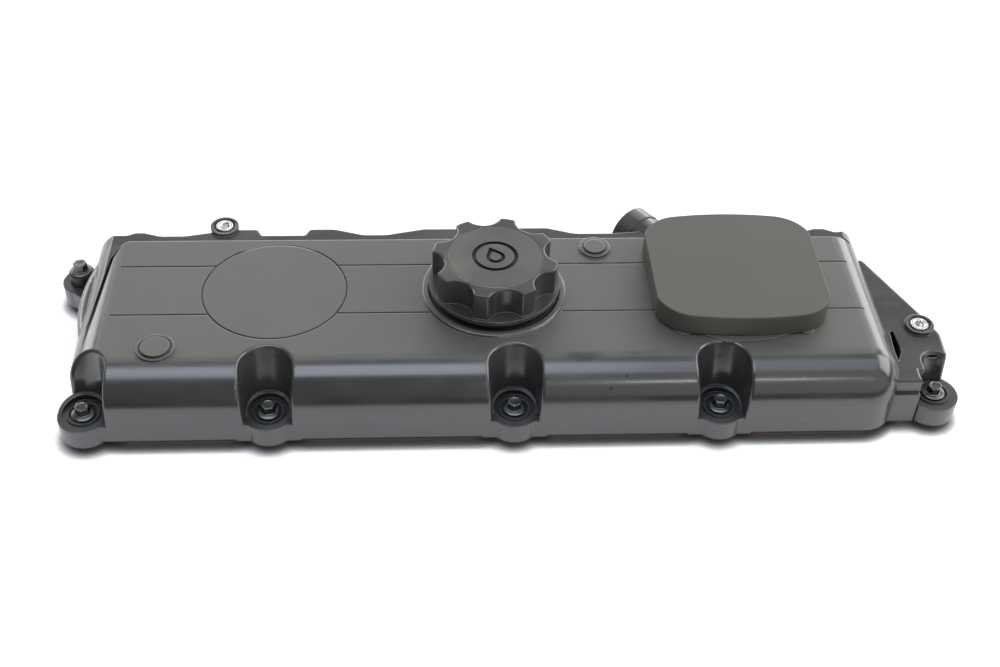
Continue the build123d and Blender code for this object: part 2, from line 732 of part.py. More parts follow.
with BuildPart() as cap:
    with Locations((0, 0, cap_flange_z)):
        Cylinder(cap_flange_r, cap_flange_h, align=(Align.CENTER, Align.CENTER, Align.MIN))
    with BuildSketch(Plane.XY.offset(cap_flange_z + cap_flange_h)) as knob:
        Circle(cap_knob_r)
        with PolarLocations(cap_scallop_floor_r + cap_scallop_r, cap_scallop_count, start_angle=cap_scallop_phase):
            Circle(cap_scallop_r, mode=Mode.SUBTRACT)
        fillet(knob.vertices(), cap_corner_r)
    extrude(amount=cap_top_z - cap_flange_z - cap_flange_h)
    fillet(cap.faces().sort_by(Axis.Z)[-1].edges(), cap_edge_r)
    with Locations((0, 0, cap_top_z)):
        Cylinder(cap_disc_r + cap_disc_gap, cap_disc_t, align=(Align.CENTER, Align.CENTER, Align.MAX),
                 mode=Mode.SUBTRACT)
    with Locations((0, 0, cap_flange_z)):
        Cylinder(neck_bore_r - cap_plug_gap, cap_plug_drop, align=(Align.CENTER, Align.CENTER, Align.MAX))
    with Locations((0, 0, cap_top_z - cap_disc_t - cap_roof)):
        Cylinder(neck_bore_r - cap_plug_gap - cap_plug_wall, 3 * cap_plug_drop + 20,
                 align=(Align.CENTER, Align.CENTER, Align.MAX), mode=Mode.SUBTRACT)
save(cap.part.moved(Location((*filler_at, 0))), "oil_filler_cap")

with BuildPart() as cap_disc:
    with Locations((*filler_at, cap_top_z)):
        Cylinder(cap_disc_r, cap_disc_t, align=(Align.CENTER, Align.CENTER, Align.MAX))
    fillet(cap_disc.faces().sort_by(Axis.Z)[-1].edges(), 0.4)
save(cap_disc.part, "filler_cap_disc")

with BuildPart() as cap_seal:
    with BuildSketch(Plane.XY.offset(neck_top_z)):
        with Locations(filler_at):
            Circle(cap_seal_outer_r)
            Circle(cap_seal_inner_r, mode=Mode.SUBTRACT)
    extrude(amount=cap_seal_t)
save(cap_seal.part, "filler_cap_seal")


def lid_outline(inset):
    """The rounded square of the breather cover: straight sides, swept corners and bowed ends."""
    w, d = lid_w / 2 - inset, lid_d / 2 - inset
    side_y = lid_side / 2 - 0.17 * inset
    shoulder = (lid_shoulder[0] - 0.144 * inset, lid_shoulder[1] - 0.99 * inset)
    with BuildSketch() as plan:
        with BuildLine():
            end = TangentArc((0, d), shoulder, tangent=(1, 0))
            TangentArc(end @ 1, (w, side_y), tangent=end % 1)
            Line((w, side_y), (w, 0))
            mirror(about=Plane.YZ)
            mirror(about=Plane.XZ)
        make_face()
        corners = plan.vertices().filter_by(lambda v: abs(abs(v.X) - w) < 0.01 and abs(abs(v.Y) - side_y) < 0.01)
        fillet(corners, lid_corner_r)
    return plan.sketch.moved(Location((*breather_at, 0)))


with BuildPart() as lid:
    with BuildSketch(Plane.XY.offset(lid_bottom_z)):
        add(lid_outline(0))
    extrude(amount=lid_top_z - lid_bottom_z)
    fillet(lid.faces().sort_by(Axis.Z)[-1].edges(), lid_edge_r)
    with BuildSketch(Plane.XY.offset(lid_bottom_z)):
        add(lid_outline(lid_wall))
    extrude(amount=lid_top_z - lid_bottom_z - lid_wall, mode=Mode.SUBTRACT)
    with BuildSketch(Plane.XY.offset(membrane_z)):
        with Locations(breather_at):
            Circle(well_r + well_wall)
            Circle(well_r, mode=Mode.SUBTRACT)
    extrude(amount=lid_top_z - lid_wall - membrane_z + 0.5)
save(lid.part, "breather_cover")

with BuildPart() as membrane:
    with BuildSketch(Plane.XZ):
        with BuildLine():
            under, over = roll_r - diaphragm_t / 2, roll_r + diaphragm_t / 2
            reach = math.sqrt(over ** 2 - diaphragm_t ** 2)
            Polyline((roll_mid_r - under, well_rim_z), (0, well_rim_z), (0, membrane_z),
                     (roll_mid_r - reach, membrane_z))
            ThreePointArc((roll_mid_r - reach, membrane_z), (roll_mid_r, well_rim_z + over),
                          (roll_mid_r + reach, membrane_z))
            Polyline((roll_mid_r + reach, membrane_z), (well_r + well_wall, membrane_z),
                     (well_r + well_wall, well_rim_z), (roll_mid_r + under, well_rim_z))
            ThreePointArc((roll_mid_r + under, well_rim_z), (roll_mid_r, well_rim_z + under),
                          (roll_mid_r - under, well_rim_z))
        make_face()
    revolve(axis=Axis.Z)
save(membrane.part.moved(Location((*breather_at, 0))), "breather_diaphragm")

with BuildPart() as plate:
    with Locations((*breather_at, membrane_z)):
        Cylinder(plate_r, plate_t, align=(Align.CENTER, Align.CENTER, Align.MIN))
        Cylinder(plate_hub_r, plate_t + plate_hub_h, align=(Align.CENTER, Align.CENTER, Align.MIN))
save(plate.part, "diaphragm_plate")

with BuildPart() as spring:
    low, high = well_floor_z + spring_wire_r, well_rim_z - spring_wire_r
    with BuildLine() as coil:
        Helix((high - low) / spring_turns, high - low, spring_coil_r, center=(*breather_at, low))
    with BuildSketch(Plane(origin=coil.line @ 0, z_dir=coil.line % 0)):
        Circle(spring_wire_r)
    sweep(path=coil.line, is_frenet=True)
save(spring.part, "diaphragm_spring")

with BuildPart() as baffle:
    middle = ((baffle_left + baffle_right) / 2, (baffle_front + baffle_rear) / 2)
    width, depth = baffle_right - baffle_left, baffle_rear - baffle_front
    with BuildSketch(Plane.XY.offset(baffle_z)):
        with Locations(middle):
            RectangleRounded(width, depth, baffle_corner_r)
    extrude(amount=baffle_t)
    with BuildSketch(Plane.XY.offset(baffle_z)):
        with Locations(middle):
            RectangleRounded(width, depth, baffle_corner_r)
            RectangleRounded(width - 2 * baffle_rim_t, depth - 2 * baffle_rim_t, baffle_corner_r - baffle_rim_t,
                             mode=Mode.SUBTRACT)
    extrude(amount=baffle_t + baffle_rim_h)
    with BuildSketch(Plane.XY.offset(baffle_z)):
        with Locations(*[(x, baffle_front + 14) for x in (baffle_left + 40, baffle_right - 40)]):
            Circle(baffle_drain_r + baffle_rim_t)
    extrude(amount=-baffle_drain_h)
    with BuildSketch(Plane.XY.offset(baffle_z - baffle_drain_h)):
        with Locations(*[(x, baffle_front + 14) for x in (baffle_left + 40, baffle_right - 40)]):
            Circle(baffle_drain_r)
        with Locations(*screw_places):
            Circle(screw_d / 2 + screw_gap)
        with Locations((baffle_right - 26, 0)):
            with GridLocations(0, baffle_slot_pitch, 1, baffle_slot_count):
                SlotOverall(24, 5)
    extrude(amount=baffle_drain_h + baffle_t, mode=Mode.SUBTRACT)
save(baffle.part, "baffle_plate")

with BuildPart() as screws:
    for x, y in screw_places:
        with Locations((x, y, baffle_z)):
            Cylinder(screw_d / 2, screw_length, align=(Align.CENTER, Align.CENTER, Align.MIN))
            Cylinder(screw_head_d / 2, screw_head_h, align=(Align.CENTER, Align.CENTER, Align.MAX))
save(screws.part, "baffle_screws")


def insert(place, top):
    """A threaded insert whose upper face stands just proud of its boss."""
    with BuildPart() as ring:
        with Locations((*place, top + insert_proud)):
            Cylinder(insert_r, insert_length, align=(Align.CENTER, Align.CENTER, Align.MAX))
            Cylinder(insert_bore_r, insert_length, align=(Align.CENTER, Align.CENTER, Align.MAX),
                     mode=Mode.SUBTRACT)
    return ring.part


save(insert(rear_insert_at, shoulder_z + insert_boss_h), "rear_insert")
save(insert(end_insert_at, gusset_z + insert_boss_h), "end_insert")
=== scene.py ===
import math
import random

import bmesh
import bpy
from mathutils import Matrix, Vector


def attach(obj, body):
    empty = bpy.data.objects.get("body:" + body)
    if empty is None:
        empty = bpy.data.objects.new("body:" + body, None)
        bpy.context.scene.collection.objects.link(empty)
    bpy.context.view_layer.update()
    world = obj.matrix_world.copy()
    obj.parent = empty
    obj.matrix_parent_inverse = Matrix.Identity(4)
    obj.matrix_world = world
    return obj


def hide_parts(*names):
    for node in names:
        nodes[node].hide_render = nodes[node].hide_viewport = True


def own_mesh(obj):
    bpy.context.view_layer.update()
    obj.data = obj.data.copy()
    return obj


# Looks of an engine valve cover: camera, stage, light, materials and the small details.
# Everything is in metres in the part's own frame.

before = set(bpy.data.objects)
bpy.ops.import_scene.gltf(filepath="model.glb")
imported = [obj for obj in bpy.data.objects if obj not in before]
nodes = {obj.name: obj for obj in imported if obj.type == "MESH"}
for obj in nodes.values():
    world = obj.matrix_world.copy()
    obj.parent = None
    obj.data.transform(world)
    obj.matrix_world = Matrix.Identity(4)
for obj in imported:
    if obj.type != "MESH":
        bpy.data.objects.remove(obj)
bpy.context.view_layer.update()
MM = 0.001

# Camera, fitted to the photograph
CAMERA_AT = Vector((-0.0488, -0.6650, 0.6248))
CAMERA_PITCH = math.radians(42.457)
CAMERA_YAW = math.radians(-4.405)
CAMERA_ROLL = math.radians(2.36)

# Bolts: place, and how far the seat stands above the ordinary one
BOLT_PLACES = (
    (-141.2, -73.4), (7.4, -73.4), (133.6, -73.4), (-251.3, -73.0), (269.9, -64.7),
    (-139.0, 73.4), (-5.0, 73.4), (142.0, 73.4), (196.0, 73.4), (-272.3, 51.0),
)
TALL_BOLT = len(BOLT_PLACES) - 1
TALL_RISE = 8.0
BOLT_SEAT_Z = 20.0
SHANK_R = 3.0
BOLT_FLANGE_R = 7.1
BOLT_FLANGE_H = 1.4
HEX_R = 4.0
HEX_H = 5.2
INSERT_R = 5.6
INSERT_BORE_R = 3.0
INSERT_LENGTH = 12.0
INSERTS = (("rear_insert", (-177.5, 66.2), 53.4), ("end_insert", (267.2, -25.0), 42.4))
SCREW_PLACES = ((73, -42), (150, -43.5), (228, -42), (73, 38), (186, 39), (226, 36))
SCREW_SEAT_Z = 16.0
SCREW_R = 2.0
SCREW_LENGTH = 14.0
SCREW_HEAD_R = 4.0
SCREW_HEAD_H = 2.4
BREATHER_AT = (150.1, 3.1)
SPRING_FOOT_Z = 24.5
SPRING_TOP_Z = 57.0
SPRING_COIL_R = 15.5
SPRING_WIRE_R = 0.8
CAP_AT = (-2.7, -1.6)
CAP_TOP_Z = 81.0
DISC_R = 29.6
DISC_T = 2.0
SIGN_R = 14.4
SIGN_LINE = 2.6
SIGN_DEPTH = 1.5
SIGN_TURN = 20.0


# Studio: strength of the surround in front, behind and overhead as reflections see it, then the lamps:
# name, place, target, width, depth and watts
SKY_FRONT = 0.10
SKY_FRONT_RIGHT = 0.55
SKY_BACK = 0.50
SKY_TOP = 0.15
SKY_LOW = 3.5
COOL = (0.90, 0.98, 1.12)
LAMPS = (
    ("soft_top", (-0.35, -0.26, 1.3), (-0.35, -0.26, 0.0), 1.2, 0.72, 7.4, COOL),
    ("soft_top_right", (0.65, -0.26, 1.3), (0.65, -0.26, 0.0), 0.8, 0.72, 2.0, COOL),
    ("soft_right", (2.0, 0.15, 1.25), (0.0, 0.0, 0.05), 1.5, 1.5, 26),
    ("strip_front", (0.43, -1.2, 1.0), (0.1, -0.07, 0.03), 0.42, 0.07, 0.8),
)
# Two dark nicks in the rolled front, in metres
NICKS = ((0.0735, -0.0756, 0.0482), (0.0640, -0.0805, 0.0427))
# Painted reflection: in front of this line reflections see the floor as dark grey instead of white; in metres from the
# middle
FLOOR_SEEN_TO = (0.150, 0.215)

# The painted contact shadow, a dark line where the cover meets the floor: how far it reaches and how fast it falls off
CONTACT_REACH = 0.0085
CONTACT_POWER = 5.5


def make_camera():
    """Puts the camera where the fitted photograph was taken from."""
    forward = Vector((
        -math.sin(CAMERA_YAW) * math.cos(CAMERA_PITCH),
        math.cos(CAMERA_YAW) * math.cos(CAMERA_PITCH),
        -math.sin(CAMERA_PITCH),
    ))
    level = Vector((math.cos(CAMERA_YAW), math.sin(CAMERA_YAW), 0))
    upward = level.cross(forward)
    c, s = math.cos(CAMERA_ROLL), math.sin(CAMERA_ROLL)
    right = c * level + s * upward
    up = -s * level + c * upward
    data = bpy.data.cameras.new("camera")
    data.lens, data.sensor_width = 50, 36
    camera = bpy.data.objects.new("camera", data)
    turn = Matrix((right, up, -forward)).transposed().to_4x4()
    camera.matrix_world = Matrix.Translation(CAMERA_AT) @ turn
    bpy.context.scene.collection.objects.link(camera)
    bpy.context.scene.camera = camera


class Net:
    """A material's node tree with short calls for the nodes used here."""

    def __init__(self, name, world=False):
        self.data = bpy.data.worlds.new(name) if world else bpy.data.materials.new(name)
        self.data.use_nodes = True
        self.tree = self.data.node_tree
        self.tree.nodes.clear()

    def put(self, node, key, value):
        if isinstance(value, bpy.types.NodeSocket):
            self.tree.links.new(value, node.inputs[key])
        else:
            node.inputs[key].default_value = value

    def add(self, kind, values=None, **settings):
        node = self.tree.nodes.new(kind)
        for key, value in settings.items():
            setattr(node, key, value)
        for key, value in (values or {}).items():
            self.put(node, key, value)
        return node

    def math(self, kind, a, b=0.0, clamp=False):
        return self.add("ShaderNodeMath", {0: a, 1: b}, operation=kind, use_clamp=clamp).outputs[0]

    def times(self, a, b):
        return self.math("MULTIPLY", a, b)

    def plus(self, a, b):
        return self.math("ADD", a, b)

    def less(self, value):
        return self.math("SUBTRACT", 1.0, value)

    def span(self, value, low, high, to_low=0.0, to_high=1.0):
        """Maps low..high onto to_low..to_high with soft ends."""
        return self.add(
            "ShaderNodeMapRange",
            {"Value": value, "From Min": low, "From Max": high, "To Min": to_low, "To Max": to_high},
            interpolation_type="SMOOTHSTEP",
        ).outputs[0]

    def band(self, value, low, high, soft):
        """One between low and high, falling off softly outside."""
        return self.times(self.span(value, low - soft, low), self.less(self.span(value, high, high + soft)))

    def mix(self, factor, a, b):
        node = self.add("ShaderNodeMix", data_type="RGBA")
        for key, value in ((0, factor), (6, a), (7, b)):
            self.put(node, key, value)
        return node.outputs[2]

    def noise(self, place, scale, detail=3.0, roughness=0.5, stretch=None):
        if stretch:
            place = self.add("ShaderNodeMapping", {"Vector": place, "Scale": stretch}).outputs[0]
        values = {"Vector": place, "Scale": scale, "Detail": detail, "Roughness": roughness}
        return self.add("ShaderNodeTexNoise", values).outputs["Fac"]

    def place(self):
        return self.add("ShaderNodeTexCoord").outputs["Object"]

    def parts(self, vector):
        return self.add("ShaderNodeSeparateXYZ", {0: vector}).outputs

    def edges(self, radius, low=0.004, high=0.08):
        """The rounded normal, and a mask of the edges that it rounds."""
        bevel = self.add("ShaderNodeBevel", {"Radius": radius * MM}, samples=6).outputs[0]
        flat = self.add("ShaderNodeNewGeometry").outputs["Normal"]
        facing = self.add("ShaderNodeVectorMath", {0: bevel, 1: flat}, operation="DOT_PRODUCT").outputs["Value"]
        return bevel, self.span(self.less(facing), low, high)

    def finish(self, tone, rough, bump_height, bump_mm, bevel, metallic=0.0, ior=1.5, gloss=0.5):
        normal = self.add("ShaderNodeBump", {"Height": bump_height, "Distance": bump_mm * MM, "Strength": 1.0,
                                             "Normal": bevel})
        shader = self.add("ShaderNodeBsdfPrincipled", {
            "Base Color": tone, "Roughness": rough, "Metallic": metallic, "IOR": ior, "Normal": normal.outputs[0],
            "Specular IOR Level": gloss,
        })
        self.add("ShaderNodeOutputMaterial", {"Surface": shader.outputs[0]})
        return self.data


def grey(value, warm=0.0):
    return (value * (1 + warm), value, value * (1 - warm), 1)


def tint(red, green, blue):
    return (red, green, blue, 1)


def surface(name, colour, worn, roughness, metallic=0.0, grain=0.4, bump=0.03, patch=18.0, edge=0.5, ior=1.5,
            spread=0.25, rough_spread=0.08, wear=0.6, specks=0.0):
    """A procedural finish: clouded colour, fine grain, rounded and worn edges. Grain, bump and edge in mm."""
    net = Net(name)
    place = net.place()
    cloud = net.noise(place, patch, 4, 0.6)
    fine = net.noise(place, 1 / (grain * MM), 2, 0.5)
    dark = tuple(c * (1 - spread) for c in colour[:3]) + (1,)
    light = tuple(min(1, c * (1 + spread)) for c in colour[:3]) + (1,)
    tone = net.mix(net.span(cloud, 0.3, 0.7), dark, light)
    if specks:
        dust = net.span(net.noise(place, 900, 2, 0.7), 0.66, 0.74)
        tone = net.mix(net.times(dust, specks), tone, worn)
    bevel, rim = net.edges(edge)
    patchy = net.span(net.noise(place, 140, 3, 0.6), 0.38, 0.62, 0.35, 1.0)
    tone = net.mix(net.times(rim, net.times(patchy, wear)), tone, worn)
    rough = net.span(cloud, 0.25, 0.75, roughness - rough_spread, roughness + rough_spread)
    return net.finish(tone, rough, fine, bump, bevel, metallic, ior)


def cover_finish():
    """The cover: a fine matte grain on the plateau and a glossy skin on the rolled front, ends, niches and sides, with
    painted shade in its recesses and a painted highlight along the rear step.
    """
    net = Net("cover_plastic")
    place = net.place()
    x, y, z = net.parts(place)
    lie = net.parts(net.add("ShaderNodeNewGeometry").outputs["Normal"])
    high = net.span(z, 0.0530, 0.0539)
    level = net.span(lie[2], 0.965, 0.992)
    matte = net.times(high, level)
    cloud = net.noise(place, 13, 5, 0.62)
    smear = net.noise(place, 10, 4, 0.6, stretch=(1.0, 3.0, 3.0))
    fine = net.noise(place, 2300, 2, 0.5)
    pebble = net.add("ShaderNodeTexVoronoi", {"Vector": place, "Scale": 1400.0}).outputs["Distance"]
    top = net.mix(net.span(cloud, 0.3, 0.7), tint(0.058, 0.0578, 0.047), tint(0.070, 0.0698, 0.057))
    skin = net.mix(net.span(smear, 0.3, 0.7), tint(0.037, 0.037, 0.036), tint(0.052, 0.051, 0.049))
    tone = net.mix(matte, skin, top)
    scuff = net.span(net.noise(place, 45, 6, 0.72, stretch=(0.5, 2.0, 2.0)), 0.60, 0.72)
    tone = net.mix(net.times(scuff, net.times(net.less(matte), 0.25)), tone, grey(0.11))
    film = net.span(net.noise(place, 26, 3, 0.6, stretch=(0.7, 1.6, 1.6)), 0.46, 0.60)
    near_roll = net.band(y, -0.069, -0.062, 0.004)
    film = net.times(film, net.times(near_roll, net.band(x, 0.042, 0.092, 0.010)))
    tone = net.mix(net.times(film, 0.85), tone, grey(0.008))
    for spot in NICKS:
        away = net.add("ShaderNodeVectorMath", {0: place, 1: spot}, operation="DISTANCE").outputs["Value"]
        nick = net.less(net.span(net.plus(away, net.times(net.noise(place, 700, 2), 0.0012)), 0.0012, 0.0022))
        tone = net.mix(nick, tone, grey(0.004))
    dust = net.span(net.noise(place, 620, 2, 0.7), 0.735, 0.76)
    tone = net.mix(net.times(dust, 0.45), tone, grey(0.30))
    bevel, rim = net.edges(1.1)
    patchy = net.span(net.noise(place, 90, 3, 0.6), 0.36, 0.62, 0.3, 1.0)
    tone = net.mix(net.times(rim, net.times(patchy, 0.55)), tone, grey(0.16))
    # Painted highlight: the rounded edges along the rear step and groove are lightened to a pale grey line.
    rear_step_highlight = net.times(net.band(y, 0.040, 0.058, 0.003), net.span(z, 0.0480, 0.0500))
    tone = net.mix(net.times(rim, net.times(rear_step_highlight, 0.8)), tone, grey(0.45))
    # Painted shade: the cover's own ambient occlusion darkens its colour towards black and lowers its gloss in niches,
    # recesses and corners.
    recess_shade_ao = net.add("ShaderNodeAmbientOcclusion", {"Distance": 0.020}, samples=4, only_local=True).outputs["AO"]
    shade = net.span(recess_shade_ao, 0.30, 0.88)
    tone = net.mix(shade, net.mix(0.35, grey(0.0), tone), tone)
    rough_skin = net.span(smear, 0.3, 0.75, 0.16, 0.30)
    rough_top = net.span(cloud, 0.3, 0.7, 0.46, 0.56)
    rough = net.plus(net.times(rough_top, matte), net.times(rough_skin, net.less(matte)))
    grain = net.times(net.plus(fine, pebble), net.span(matte, 0.0, 1.0, 0.08, 1.0))
    return net.finish(tone, rough, grain, 0.05, bevel, ior=1.8, gloss=net.span(shade, 0.0, 1.0, 0.12, 0.5))


def lamp(name, place, target, width, depth, watts, colour=(1, 1, 1)):
    """A rectangular soft lamp at a place, facing a target."""
    data = bpy.data.lights.new(name, "AREA")
    data.shape, data.size, data.size_y, data.energy, data.color = "RECTANGLE", width, depth, watts, colour
    light = bpy.data.objects.new(name, data)
    aim = Vector(target) - Vector(place)
    light.matrix_world = Matrix.Translation(place) @ aim.to_track_quat("-Z", "Y").to_matrix().to_4x4()
    bpy.context.scene.collection.objects.link(light)


def make_stage():
    """A white floor that keeps the soft shadow, with a painted contact shadow next to the cover and a painted dark
    reflection in front, a studio surround that is dark in front, and soft lamps.
    """
    net = Net("floor_white")
    path = net.add("ShaderNodeLightPath").outputs
    seen = net.math("MAXIMUM", path["Is Camera Ray"], net.math("MAXIMUM", path["Is Glossy Ray"],
                                                                path["Is Transmission Ray"]))
    # Painted shadow: ambient occlusion from the cover darkens the floor's colour towards black and dims its glow next
    # to and under the cover.
    near = net.add("ShaderNodeAmbientOcclusion", {"Distance": CONTACT_REACH}, samples=8).outputs["AO"]
    open_part = net.math("POWER", near, CONTACT_POWER)
    matte = net.add("ShaderNodeBsdfDiffuse", {"Color": net.mix(open_part, grey(0.0), grey(0.80))})
    glow = net.add("ShaderNodeEmission", {"Color": grey(1.0), "Strength": net.times(net.times(seen, open_part), 0.50)})
    both = net.add("ShaderNodeAddShader", {0: matte.outputs[0], 1: glow.outputs[0]})
    # Painted reflection: glossy rays see the floor in front of FLOOR_SEEN_TO as dark grey instead of white.
    ahead = net.times(net.parts(net.place())[1], -1.0)
    beyond = net.times(path["Is Glossy Ray"], net.span(ahead, *FLOOR_SEEN_TO))
    dark = net.add("ShaderNodeBsdfDiffuse", {"Color": grey(0.03)})
    seen_floor = net.add("ShaderNodeMixShader", {0: beyond, 1: both.outputs[0], 2: dark.outputs[0]})
    net.add("ShaderNodeOutputMaterial", {"Surface": seen_floor.outputs[0]})
    half = 3.0
    mesh = bpy.data.meshes.new("floor")
    mesh.from_pydata([(-half, -half, 0), (half, -half, 0), (half, half, 0), (-half, half, 0)], [], [(0, 1, 2, 3)])
    floor = bpy.data.objects.new("floor", mesh)
    bpy.context.scene.collection.objects.link(floor)
    mesh.materials.append(net.data)

    sky = Net("surround", world=True)
    path = sky.add("ShaderNodeLightPath").outputs
    seen = sky.math("MAXIMUM", path["Is Camera Ray"], path["Is Transmission Ray"])
    x, y, z = sky.parts(sky.add("ShaderNodeTexCoord").outputs["Generated"])
    back = sky.span(y, -0.25, 0.45)
    overhead = sky.span(z, 0.90, 0.985)
    low = sky.times(sky.band(z, 0.08, 0.40, 0.06), sky.span(y, 0.35, 0.60))
    room = sky.plus(sky.span(back, 0.0, 1.0, SKY_FRONT, SKY_BACK), sky.times(overhead, SKY_TOP))
    right = sky.times(sky.span(x, 0.02, 0.14), sky.span(y, -0.25, -0.45))
    room = sky.plus(room, sky.plus(sky.times(low, SKY_LOW), sky.times(right, SKY_FRONT_RIGHT)))
    strength = sky.plus(seen, sky.times(sky.less(seen), room))
    shade = sky.mix(sky.times(overhead, sky.less(seen)), grey(1.0), tint(0.82, 0.93, 1.12))
    ground = sky.add("ShaderNodeBackground", {"Color": shade, "Strength": strength})
    sky.add("ShaderNodeOutputWorld", {"Surface": ground.outputs[0]})
    bpy.context.scene.world = sky.data

    for row in LAMPS:
        lamp(*row)


def lathe(profile, steps, wave=None):
    """Vertices and faces of a profile of (radius, height) turned round Z; wave(angle, radius, z) may change it."""
    verts, faces = [], []
    for radius, z in profile:
        for k in range(steps):
            angle = 2 * math.pi * k / steps
            r = wave(angle, radius, z) if wave else radius
            verts.append((r * math.cos(angle), r * math.sin(angle), z))
    for i in range(len(profile) - 1):
        for k in range(steps):
            a, b = i * steps + k, i * steps + (k + 1) % steps
            faces.append((a, b, b + steps, a + steps))
    return verts, faces


def closed_lathe(profile, steps, wave=None):
    """A turned solid, closed with a fan on the axis at both ends."""
    verts, faces = lathe(profile, steps, wave)
    low, high = len(verts), len(verts) + 1
    verts += [(0, 0, profile[0][1]), (0, 0, profile[-1][1])]
    last = (len(profile) - 1) * steps
    for k in range(steps):
        n = (k + 1) % steps
        faces.append((low, n, k))
        faces.append((high, last + k, last + n))
    return verts, faces


def ring_lathe(profile, steps, wave=None):
    """A turned ring whose profile closes on itself."""
    verts, faces = lathe(list(profile) + [profile[0]], steps, wave)
    count = len(profile) * steps
    faces = [tuple(v % count for v in face) for face in faces]
    return verts[:count], faces


def thread_wave(core, depth, pitch, low, high, outward=True):
    """The radius of a screw thread between two heights, which fades out at both ends."""
    def wave(angle, radius, z):
        if abs(radius - core) > 0.01 or not low <= z <= high:
            return radius
        turn = (z / pitch - angle / (2 * math.pi)) % 1.0
        ridge = min(1.0, max(0.0, 1.25 - abs(4 * turn - 2)))
        fade = min(1.0, (z - low) / pitch, (high - z) / pitch)
        cut = depth * (1 - ridge) * max(0.0, fade)
        return radius - cut if outward else radius + cut
    return wave


def merge(pieces):
    """Joins several (vertices, faces, offset) into one list, in millimetres."""
    verts, faces = [], []
    for part_verts, part_faces, (ox, oy, oz) in pieces:
        start = len(verts)
        verts += [(x + ox, y + oy, z + oz) for x, y, z in part_verts]
        faces += [tuple(v + start for v in face) for face in part_faces]
    return verts, faces


def make_piece(name, verts, faces, material, body, slot_name, node=None, smooth_angle=30):
    """A finished piece from millimetre vertices, riding on a body and standing for a node."""
    mesh = bpy.data.meshes.new(name)
    mesh.from_pydata([(x * MM, y * MM, z * MM) for x, y, z in verts], [], faces)
    work = bmesh.new()
    work.from_mesh(mesh)
    bmesh.ops.remove_doubles(work, verts=work.verts, dist=1e-7)
    bmesh.ops.recalc_face_normals(work, faces=work.faces)
    for face in work.faces:
        face.smooth = True
    for edge in work.edges:
        edge.smooth = len(edge.link_faces) == 2 and edge.calc_face_angle(0) < math.radians(smooth_angle)
    work.to_mesh(mesh)
    work.free()
    mesh.materials.append(material)
    piece = bpy.data.objects.new(name, mesh)
    bpy.context.scene.collection.objects.link(piece)
    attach(piece, body)
    if node:
        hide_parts(node)
    return piece


def hex_radius(angle, flat_r):
    """The distance from the axis to the side of a hexagon at an angle."""
    turn = (angle + math.pi / 6) % (math.pi / 3) - math.pi / 6
    return flat_r / math.cos(turn)


def bolt_shape(rise, turn):
    """A flange bolt with its tip at zero: threaded shank, domed flange, chamfered hexagon with a shallow dish."""
    seat = BOLT_SEAT_Z + rise
    steps = 48
    thread_top = 13.0
    rows = int(thread_top * 7)
    shank = [(SHANK_R - 0.9, 0.0), (SHANK_R - 0.25, 0.45)]
    shank += [(SHANK_R, 0.5 + (thread_top - 0.5) * i / rows) for i in range(rows + 1)]
    shank += [(SHANK_R - 0.02, thread_top + 0.2), (SHANK_R - 0.02, seat - 0.3), (SHANK_R, seat - 0.01)]
    under = [(SHANK_R + 0.5, seat), (BOLT_FLANGE_R - 0.3, seat), (BOLT_FLANGE_R, seat + 0.2),
             (BOLT_FLANGE_R, seat + 0.75), (BOLT_FLANGE_R - 0.25, seat + 0.95), (HEX_R * 1.22, seat + BOLT_FLANGE_H)]
    wave = thread_wave(SHANK_R, 0.55, 1.0, 0.5, thread_top)
    base = closed_lathe(shank + under, steps, wave)

    corner = HEX_R / math.cos(math.pi / 6)
    top = seat + BOLT_FLANGE_H + HEX_H
    head = [(corner + 0.2, seat + 0.9), (corner + 0.2, top - 0.75), (corner - 0.05, top - 0.45),
            (corner - 0.45, top - 0.15), (HEX_R - 0.35, top), (HEX_R - 1.1, top), (HEX_R - 1.35, top - 0.3),
            (HEX_R - 2.2, top - 0.42)]

    def hexagon(angle, radius, z):
        return min(radius, hex_radius(angle + turn, HEX_R))
    return merge([(*base, (0, 0, 0)), (*closed_lathe(head, 72, hexagon), (0, 0, 0))])


def make_bolts(material):
    """The ten captive bolts, each turned to its own angle."""
    spin = random.Random(7)
    parts = []
    for number, (x, y) in enumerate(BOLT_PLACES):
        rise = TALL_RISE if number == TALL_BOLT else 0.0
        parts.append((*bolt_shape(rise, spin.uniform(0, math.pi / 3)), (x, y, 0)))
    make_piece("flange_bolts_detailed", *merge(parts), material, "cover", "bolt_steel", "flange_bolts")


def make_inserts(material):
    """Bright inserts with a serrated collar and a threaded bore."""
    for name, (x, y), top in INSERTS:
        foot = top - INSERT_LENGTH
        rows = 60
        bore = [(INSERT_BORE_R, top - 0.7 - (INSERT_LENGTH - 1.2) * i / rows) for i in range(rows + 1)]
        profile = [(INSERT_BORE_R + 0.5, foot), (INSERT_R - 0.25, foot), (INSERT_R, foot + 0.3),
                   (INSERT_R, top - 0.9), (INSERT_R, top - 0.35), (INSERT_R - 0.35, top - 0.05),
                   (INSERT_R - 0.8, top), (INSERT_BORE_R + 1.15, top), (INSERT_BORE_R + 1.0, top - 0.12),
                   (INSERT_BORE_R + 0.6, top - 0.12), (INSERT_BORE_R + 0.25, top - 0.4)] + bore
        thread = thread_wave(INSERT_BORE_R, -0.45, 1.0, foot + 0.4, top - 0.7)

        def wave(angle, radius, z, thread=thread, top=top):
            if radius > INSERT_R - 1.0 and z > top - 2.0:
                return radius - 0.28 * (0.5 + 0.5 * math.cos(24 * angle))
            return thread(angle, radius, z)
        shape = merge([(*ring_lathe(profile, 192, wave), (x, y, 0))])
        make_piece(name + "_serrated", *shape, material, "cover", "insert_brass", name)


